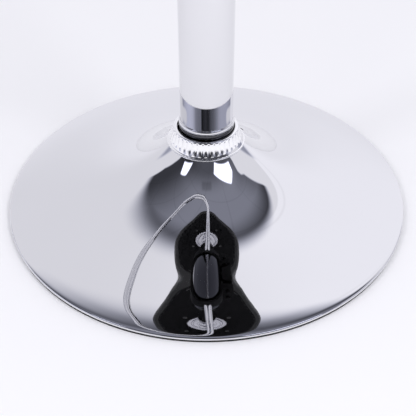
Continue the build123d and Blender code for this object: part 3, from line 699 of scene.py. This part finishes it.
def make_cushion():
    """Leatherette cover over a foam block, swollen as cloth, with a seam round its upper edge."""
    verts = []
    for share, inset in CUSHION_LINE:
        z = COVER_LOW + CUSHION_LIFT + share * (CUSHION_H - SWELL_ROOM)
        ring = seat_ring(inset)
        verts += [(x * MM, y * MM, z * MM) for x, y in ring]
    faces = rod_faces(len(CUSHION_LINE), len(ring))
    pad = new_mesh("seat_cushion_cover", verts, faces, "leather")
    modify(pad, "REMESH", mode="VOXEL", voxel_size=VOXEL, use_smooth_shade=True)
    co = read_points(pad.data)
    flat = co[:, 2] < (COVER_LOW + FLAT_BELOW) * MM
    co[flat, 2] = (COVER_LOW + FLAT_LIFT) * MM
    write_points(pad.data, co)
    pinned = np.nonzero(co[:, 2] < (COVER_LOW + HELD_BELOW) * MM)[0]
    swell(pad, pinned, SWELL_PRESSURE, SWELL_CAP)
    modify(pad, "SUBSURF", levels=1)

    # the seam draws the cover in; rays from outside find its line and the stitches' lines
    height = (COVER_LOW + SEAM_SHARE * CUSHION_H) * MM
    seam, _ = around(tree_of(pad.data), height, SEAM_RAYS)
    near = kdtree.KDTree(len(seam))
    for i, point in enumerate(seam):
        near.insert(point, i)
    near.balance()
    co = read_points(pad.data)
    normals = read_normals(pad.data)
    gap = np.array([near.find(Vector(c))[2] for c in co]) / MM
    turn = np.arctan2(co[:, 1], co[:, 0])
    pucker = PUCKER_H * np.sin(turn * PUCKERS) * np.exp(-((gap / PUCKER_WIDTH) ** 2))
    draw = pucker - SEAM_DEPTH * np.exp(-((gap / SEAM_WIDTH) ** 2))
    co += normals * (draw * MM)[:, None]
    # small gathers where the cover turns under the board
    z = co[:, 2] / MM
    low = 1 - smooth_step(z, COVER_LOW + GATHER_FADE, COVER_LOW + GATHER_END)
    low = low * (z > COVER_LOW + GATHER_FROM)
    sway = GATHER_SWAY * np.sin(turn * GATHER_SWAYS)
    gather = GATHER_H * np.sin(turn * GATHERS + sway) * low
    co += normals * (gather * MM)[:, None]
    write_points(pad.data, co)

    tree = tree_of(pad.data)
    verts, faces = [], []
    for offset in STITCH_OFFSETS:
        add_stitches(verts, faces, *around(tree, height + offset * MM, STITCH_RAYS))
    thread = new_mesh("seat_stitches", verts, faces, "thread")
    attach(thread, "seat")

    # foam: the same form a skin further in, flat on the board
    foam = pad.copy()
    foam.data = pad.data.copy()
    foam.name = "seat_foam_block"
    foam.data.materials.clear()
    foam.data.materials.append(mats["foam"])
    scene.collection.objects.link(foam)
    co = read_points(foam.data) - read_normals(foam.data) * FOAM_INSET * MM
    co[:, 2] = np.maximum(co[:, 2], FOAM_LOW * MM)
    write_points(foam.data, co)
    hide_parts("seat_foam")
    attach(foam, "seat")

    # the cover is open under the board and has a thickness
    mouth = [tuple(q) for q in seat_ring(MOUTH_INSET) * MM]
    bm = bmesh.new()
    bm.from_mesh(pad.data)
    under = [f for f in bm.faces
             if all(v.co.z < (COVER_LOW + MOUTH_BELOW) * MM and inside(v.co.xy, mouth)
                    for v in f.verts)]
    bmesh.ops.delete(bm, geom=under, context="FACES")
    bm.to_mesh(pad.data)
    bm.free()
    modify(pad, "SOLIDIFY", thickness=COVER_SKIN, offset=-1.0, use_rim=True)
    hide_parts("seat_cover")
    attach(pad, "seat")


# dust cloth
CLOTH_TOP = level("dust_cloth", 1) - 0.08
CLOTH_INSET = 24.0
GRID_INSET = 27.0
CLOTH_THICK = 0.00035
BOLT_X, BOLT_Y = 60, 65
BOLT_HOLE_R = 4.7
HOLE_SIDES = 20
HOLE_MARGIN = 7.5
GRID_X, GRID_Y = 6, 5.2
PAN_MARGIN = 0.006
EDGE_TIGHT, EDGE_SLACK = 0.004, 0.02


def make_dust_cloth():
    """Thin cloth stretched over the board's under face, open round the four seat bolts."""
    edge = [Vector((x * MM, y * MM)) for x, y in seat_ring(CLOTH_INSET)]
    flat_edge = [tuple(q) for q in edge]
    inner_edge = [tuple(q) for q in seat_ring(GRID_INSET) * MM]
    holes = []
    for x in (-BOLT_X, BOLT_X):
        for y in (-BOLT_Y, BOLT_Y):
            turns = [k * math.pi / (HOLE_SIDES / 2) for k in range(HOLE_SIDES)]
            holes.append([Vector((x + BOLT_HOLE_R * math.cos(a),
                                  y + BOLT_HOLE_R * math.sin(a))) * MM for a in turns])

    def middle(points):
        return sum(points, Vector((0, 0))) / len(points)

    centres = [middle(h) for h in holes]

    def clear(q, loop, margin):
        return inside(q, loop) and all((q - c).length > margin * MM for c in centres)

    grid = []
    for i in range(-40, 38):
        for j in range(-30, 31):
            q = Vector(((i * GRID_X + (j % 2) * GRID_X / 2) * MM, j * GRID_Y * MM))
            if clear(q, inner_edge, HOLE_MARGIN):
                grid.append(q)
    points = list(edge)
    loops = [list(range(len(edge)))]
    for h in holes:
        loops.append([len(points) + k for k in range(len(h) - 1, -1, -1)])
        points += h
    edges = [(l[k], l[(k + 1) % len(l)]) for l in loops for k in range(len(l))]
    points += grid
    flat, _, faces, _, _, _ = geometry.delaunay_2d_cdt(points, edges, [], 0, 1e-7)
    faces = [tuple(f) for f in faces
             if clear(middle([Vector(flat[i][:]) for i in f]), flat_edge, BOLT_HOLE_R - 0.1)]

    # tight over the pan and at the edge, with slack and small ripples between them
    _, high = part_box("mechanism_pan")
    verts = []
    for x, y in flat:
        away = max(abs(x) / (high[0] + PAN_MARGIN), abs(y) / (high[1] + PAN_MARGIN)) - 1
        free = float(smooth_step(np.array(away), 0.0, 0.25))
        edge_far = min((Vector((x, y)) - e).length for e in edge[::4])
        slack = float(smooth_step(np.array(edge_far), EDGE_TIGHT, EDGE_SLACK))
        turn = math.atan2(y, x)
        ripple = 0.55 + 0.3 * math.sin(turn * 36) * (1 - slack) + 0.25 * math.sin(x * 210 + y * 90)
        verts.append((x, y, CLOTH_TOP * MM - free * slack * ripple * MM))
    cloth = new_mesh("seat_dust_cloth", verts, faces, "cloth")
    faces_up = sum(p.normal.z * p.area for p in cloth.data.polygons) > 0
    modify(cloth, "SOLIDIFY", thickness=CLOTH_THICK, offset=-1.0 if faces_up else 1.0, use_rim=True)
    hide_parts("dust_cloth")
    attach(cloth, "seat")
    x, y = np.array(flat_edge).T


STAPLES = 40
STAPLE_INSET = 28.0
PAN_TOP = level("mechanism_pan", 1)
# place along the staple and height of its wire from the pan's top in mm, and the wire's four edges
STAPLE_LINE = ((-5.2, 0.2), (-5.1, -0.15), (-4.6, -0.32), (4.6, -0.32), (5.1, -0.15), (5.2, 0.2))
STAPLE_WIRE = ((-0.55, -0.2), (0.55, -0.2), (0.55, 0.2), (-0.55, 0.2))


def make_staples():
    """Wire staples that hold the dust cloth to the board."""
    verts, faces = [], []
    places = seat_ring(STAPLE_INSET, STAPLES)
    for i, (x, y) in enumerate(places):
        ahead = Vector(places[(i + 1) % len(places)]) - Vector(places[i - 1])
        yaw = math.atan2(ahead.y, ahead.x) + 0.12 * math.sin(i * 2.3)
        along_staple = Vector((math.cos(yaw), math.sin(yaw), 0))
        across = Vector((-math.sin(yaw), math.cos(yaw), 0))
        mid = Vector((x, y, 0)) * MM
        faces += rod_faces(len(STAPLE_LINE), len(STAPLE_WIRE), len(verts))
        for a, z in STAPLE_LINE:
            for b, dz in STAPLE_WIRE:
                verts.append(tuple(mid + along_staple * a * MM + across * b * MM
                                   + Vector((0, 0, (PAN_TOP + z + dz) * MM))))
    staples = new_mesh("dust_cloth_staples", verts, faces, "oxide", smooth=False)
    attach(staples, "seat")


make_dish()
make_bead()
make_cup()
make_collar()
make_cushion()
make_dust_cloth()
make_staples()

# camera
PICTURE_W = 416.0
FOCAL_PIXELS = 800.0
LOOK_DOWN = 40.53

cam_data = bpy.data.cameras.new("camera")
cam = bpy.data.objects.new("camera", cam_data)
scene.collection.objects.link(cam)
cam_data.sensor_width = 36.0
cam_data.lens = FOCAL_PIXELS / PICTURE_W * 36.0
cam_data.clip_start = 0.01
cam.location = (0.6324, 0.0014, 0.5206)
cam.rotation_euler = (math.radians(90 - LOOK_DOWN), 0.0, math.radians(90.0))
scene.camera = cam


# floor and light
FLOOR_HALF = 6.0


def make_floor():
    me = bpy.data.meshes.new("floor")
    s = FLOOR_HALF
    me.from_pydata([(-s, -s, 0), (s, -s, 0), (s, s, 0), (-s, s, 0)], [], [(0, 1, 2, 3)])
    ob = bpy.data.objects.new("floor", me)
    scene.collection.objects.link(ob)
    mat = bpy.data.materials.new("floor_white")
    mat.use_nodes = True
    bsdf = mat.node_tree.nodes["Principled BSDF"]
    bsdf.inputs["Base Color"].default_value = (0.93, 0.925, 0.965, 1)
    bsdf.inputs["Roughness"].default_value = 0.8
    bsdf.inputs["Specular IOR Level"].default_value = 0.1
    me.materials.append(mat)


# The room that the chrome mirrors. Directions above the camera's side have a flat place: u runs to
# the picture's right (+Y) and v away from the camera (-X), about the ceiling's middle.
CEILING_MIDDLE = (0.5, 0.0, 0.866)
CEILING_RIGHT = (0.0, 1.0, 0.0)
CEILING_AWAY = (-0.866, 0.0, 0.5)
V_RANGE = (-0.3, 0.6)
U_RANGE = (-0.7, 0.7)
# the grey ceiling's left and right edges over v, and its soft far edge over u
LEFT_EDGE = ((-0.3, 0.47), (0.05, 0.44), (0.07, 0.44), (0.15, 0.41), (0.3, 0.37), (0.46, 0.385),
             (0.6, 0.42))
RIGHT_EDGE = ((-0.3, 0.52), (0.05, 0.51), (0.12, 0.47), (0.16, 0.475), (0.2, 0.51), (0.39, 0.53),
              (0.6, 0.5))
FAR_LOW = ((-0.7, 0.40), (-0.55, 0.40), (-0.35, 0.33), (0.1, 0.35), (0.35, 0.39), (0.7, 0.40))
FAR_HIGH = ((-0.7, 0.50), (-0.55, 0.49), (-0.35, 0.55), (0.0, 0.50), (0.35, 0.44), (0.7, 0.44))
EDGE_BLUR = 0.012
# where the ceiling darkens: at its left, right and far margins, and towards the near end
LEFT_MARGIN, RIGHT_MARGIN, RIGHT_MARGIN_SHARE = (0.08, 0.5), (-0.05, 0.22), 0.42
FAR_END, FAR_MARGIN, NEAR_FADE = 0.46, (0.04, 0.22), (-0.1, 0.08)
CEILING_DARK, CEILING_LIGHT, CEILING_NEAR_SHARE = 0.042, 0.222, 0.36
TILE_DIRECTIONS = (((0.94, 0.34, 0.0), 0.1), ((-0.34, 0.94, 0.0), 0.22))
TILE, TILE_JOINT = 0.21, (0.002, 0.014)
JOINT_SHADE, HATCH_SHADE = 0.91, 0.74
HATCH = ((-0.06, -0.02), (0.06, -0.02), (0.055, 0.03), (-0.05, 0.03))
WALL_LEFT, WALL_RIGHT, WALL_FAR, WALL_NEAR = 0.765, 0.935, 0.85, 0.79
WALL_FAR_FROM, WALL_SIDES = (0.8, 1.25), (-0.22, 0.22)
WALL_CORNER, WALL_SEAM, WALL_SEAM_FROM = (-0.006, 0.012), (0.003, 0.018), (0.2, 0.4)
WALL_SEAM_SHADE = 0.93
# greys of the low strip on the camera's side, over the angle about the column in degrees
LOW_STRIP = (
    (-180, 0.36), (-118, 0.36), (-105, 0.50), (-90, 0.60), (-75, 0.62), (-62, 0.56), (-54, 0.42),
    (-47, 0.26), (-38, 0.215), (-28, 0.19), (-23, 0.185), (-21, 0.01), (-10, 0.03), (-4, 0.05),
    (3, 0.02), (10, 0.025), (15, 0.07), (20, 0.10), (27, 0.12), (37, 0.19), (46, 0.28), (55, 0.40),
    (65, 0.45), (93, 0.45), (105, 0.40), (118, 0.33), (180, 0.33),
)
STRIP_SIDE_TOP, STRIP_FRONT_TOP, STRIP_TOP_TURN = 0.24, 0.5, (-0.25, 0.45)
STRIP_BLUR, STRIP_ENDS = (-0.03, 0.04), (-0.62, -0.5)
# the two soft light panels
LEFT_PANEL = ((-0.43, -0.01), (-0.27, -0.09), (-0.30, 0.02), (-0.35, 0.05), (-0.38, 0.06))
RIGHT_PANEL = ((0.15, -0.13), (0.43, -0.01), (0.40, 0.05), (0.29, 0.08), (0.20, 0.01),
               (0.11, -0.06))
PANEL_BLUR = 0.008
PANEL_LIGHT = 1.7
ROOM_LEVEL = 1.05
PLAIN_LIGHT = (0.86, 0.86, 0.885)
BACKDROP = (0.975, 0.97, 1.0)


def make_world():
    """Plain light for matt surfaces, a plain backdrop for the camera and the room for mirrors."""
    world = bpy.data.worlds.new("studio")
    scene.world = world
    world.use_nodes = True
    t = world.node_tree
    t.nodes.clear()
    new, link = t.nodes.new, t.links.new

    def put(x, socket):
        """Joins a socket, or sets a number or colour."""
        if isinstance(x, (int, float, tuple)):
            socket.default_value = x
        else:
            link(x, socket)

    def calc(op, *parts):
        n = new("ShaderNodeMath")
        n.operation = op
        for i, x in enumerate(parts):
            put(x, n.inputs[i])
        return n.outputs[0]

    def times(a, b):
        return calc("MULTIPLY", a, b)

    def plus(a, b):
        return calc("ADD", a, b)

    def minus(a, b):
        return calc("SUBTRACT", a, b)

    def least(a, b):
        return calc("MINIMUM", a, b)

    def most(a, b):
        return calc("MAXIMUM", a, b)

    def dot(vec, direction):
        n = new("ShaderNodeVectorMath")
        n.operation = "DOT_PRODUCT"
        put(vec, n.inputs[0])
        put(direction, n.inputs[1])
        return n.outputs["Value"]

    def soft(value, low, high):
        n = new("ShaderNodeMapRange")
        n.interpolation_type = "SMOOTHSTEP"
        n.inputs["From Min"].default_value = low
        n.inputs["From Max"].default_value = high
        put(value, n.inputs["Value"])
        return n.outputs["Result"]

    def blend(fac, a, b):
        """Colour a where fac is 0, b where it is 1."""
        n = new("ShaderNodeMix")
        n.data_type = "RGBA"
        put(fac, n.inputs[MIX_FACTOR])
        put(a, n.inputs[MIX_A])
        put(b, n.inputs[MIX_B])
        return n.outputs[MIX_RESULT]

    def curve(value, ends, points):
        """Broken line through (value, result) points; the value runs between the ends."""
        low, high = ends
        n = new("ShaderNodeFloatCurve")
        line = n.mapping.curves[0]
        pts = [((x - low) / (high - low), y) for x, y in points]
        line.points[0].location = pts[0]
        line.points[1].location = pts[-1]
        for q in pts[1:-1]:
            line.points.new(*q)
        for q in line.points:
            q.handle_type = "VECTOR"
        n.mapping.update()
        put(calc("DIVIDE", minus(value, low), high - low), n.inputs["Value"])
        return n.outputs["Value"]

    def grey(value, cool):
        """Grey of that strength, bluer where cool is 1."""
        n = new("ShaderNodeCombineColor")
        put(times(value, minus(1.0, times(cool, 0.03))), n.inputs[0])
        put(times(value, 0.995), n.inputs[1])
        put(times(value, plus(1.07, times(cool, 0.16))), n.inputs[2])
        return n.outputs[0]

    def mix(fac, x, y):
        """x where fac is 0, y where it is 1."""
        return plus(times(minus(1.0, fac), x), times(fac, y))

    def panel(u, v, corners, edge):
        """1 inside a convex panel with corners in turn against the clock."""
        inside_all = None
        for (u0, v0), (u1, v1) in zip(corners, corners[1:] + corners[:1]):
            length = math.hypot(u1 - u0, v1 - v0)
            nu, nv = -(v1 - v0) / length, (u1 - u0) / length
            at = nu * u0 + nv * v0
            step = soft(plus(times(u, nu), times(v, nv)), at - edge, at + edge)
            inside_all = step if inside_all is None else times(inside_all, step)
        return inside_all

    d = new("ShaderNodeTexCoord").outputs["Generated"]
    ahead = dot(d, (1.0, 0.0, 0.0))
    right = dot(d, CEILING_RIGHT)
    up = dot(d, (0.0, 0.0, 1.0))
    den = plus(dot(d, CEILING_MIDDLE), 1.02)
    u = calc("DIVIDE", right, den)
    v = calc("DIVIDE", dot(d, CEILING_AWAY), den)

    # the ceiling's outline
    from_left = minus(plus(u, 1.0), curve(v, V_RANGE, LEFT_EDGE))
    from_right = minus(curve(v, V_RANGE, RIGHT_EDGE), u)
    far_low = curve(u, U_RANGE, FAR_LOW)
    far_high = curve(u, U_RANGE, FAR_HIGH)
    far = soft(calc("DIVIDE", minus(v, far_low), minus(far_high, far_low)), 0.0, 1.0)
    sides = times(soft(from_left, -EDGE_BLUR, EDGE_BLUR), soft(from_right, -EDGE_BLUR, EDGE_BLUR))
    ceiling = times(sides, minus(1.0, far))

    # inside it: lighter middle, darker margin and near end, thin panel joints and a small hatch
    right_share = mix(soft(from_right, *RIGHT_MARGIN), RIGHT_MARGIN_SHARE, 1.0)
    middle = least(least(soft(from_left, *LEFT_MARGIN), right_share),
                   soft(minus(FAR_END, v), *FAR_MARGIN))
    tone = times(mix(middle, CEILING_DARK, CEILING_LIGHT),
                 mix(soft(v, *NEAR_FADE), CEILING_NEAR_SHARE, 1.0))
    for direction, phase in TILE_DIRECTIONS:
        flat = calc("DIVIDE", dot(d, direction), most(up, 0.1))
        tile = calc("PINGPONG", plus(flat, 5.0 + phase), TILE)
        tone = times(tone, mix(soft(tile, *TILE_JOINT), JOINT_SHADE, 1.0))
    tone = times(tone, mix(panel(u, v, HATCH, 0.012), 1.0, HATCH_SHADE))

    # round about: bright walls, a little dimmer on the left and behind the camera, with one seam
    side_walls = mix(soft(u, *WALL_SIDES), WALL_LEFT, WALL_RIGHT)
    walls = mix(soft(v, *WALL_FAR_FROM), side_walls, WALL_FAR)
    near_right = plus(times(ahead, 0.788), times(right, 0.616))
    near_left = plus(times(ahead, 0.839), times(right, 0.545))
    near = times(soft(near_right, *WALL_CORNER), soft(near_left, *WALL_CORNER))
    walls = mix(near, walls, WALL_NEAR)
    seam_right = minus(1.0, soft(calc("ABSOLUTE", near_right), *WALL_SEAM))
    seam_right = times(seam_right, soft(right, *WALL_SEAM_FROM))
    walls = times(walls, mix(seam_right, 1.0, WALL_SEAM_SHADE))

    # low strip on the camera's side: greys with a black stripe in the middle
    low_tone = curve(calc("ARCTAN2", right, ahead), (-math.pi, math.pi),
                     [(math.radians(deg), val) for deg, val in LOW_STRIP])
    flat_len = most(calc("SQRT", plus(times(ahead, ahead), times(right, right))), 0.001)
    turned = calc("DIVIDE", ahead, flat_len)
    top = mix(soft(turned, *STRIP_TOP_TURN), STRIP_SIDE_TOP, STRIP_FRONT_TOP)
    low = times(minus(1.0, soft(minus(up, top), *STRIP_BLUR)), soft(turned, *STRIP_ENDS))

    value = mix(low, mix(ceiling, walls, tone), low_tone)
    panels = most(panel(u, v, LEFT_PANEL, PANEL_BLUR), panel(u, v, RIGHT_PANEL, PANEL_BLUR))
    value = mix(panels, value, PANEL_LIGHT)
    room = grey(times(value, ROOM_LEVEL), most(low, ceiling))
    path = new("ShaderNodeLightPath")
    colour = blend(path.outputs["Is Glossy Ray"], (*PLAIN_LIGHT, 1), room)
    colour = blend(path.outputs["Is Camera Ray"], colour, (*BACKDROP, 1))
    bg = new("ShaderNodeBackground")
    put(colour, bg.inputs["Color"])
    bg.inputs["Strength"].default_value = 1.0
    out = new("ShaderNodeOutputWorld")
    put(bg.outputs[0], out.inputs["Surface"])


LIGHT_FAR = 1.9
LIGHT_TARGET = Vector((0, 0, 0.05))


def area(name, place, size, power):
    """Soft light panel at a place u, v of the ceiling, aimed at the dish."""
    u, v = place
    k = 1 + u * u + v * v
    c, a, b = (1 - u * u - v * v) / k, 2 * u / k, 2 * v / k
    way = Vector(CEILING_MIDDLE) * c + Vector(CEILING_RIGHT) * a + Vector(CEILING_AWAY) * b
    at = way * LIGHT_FAR
    data = bpy.data.lights.new(name, "AREA")
    data.shape = "RECTANGLE"
    data.size, data.size_y = size
    data.energy = power
    ob = bpy.data.objects.new(name, data)
    ob.location = at
    ob.rotation_euler = (LIGHT_TARGET - at).to_track_quat("-Z", "Y").to_euler()
    ob.visible_glossy = False
    scene.collection.objects.link(ob)


make_floor()
make_world()
area("soft_right", (0.27, -0.05), (0.62, 0.42), 7.0)
area("soft_left", (-0.36, -0.03), (0.30, 0.40), 4.0)

scene.view_settings.view_transform = "Standard"
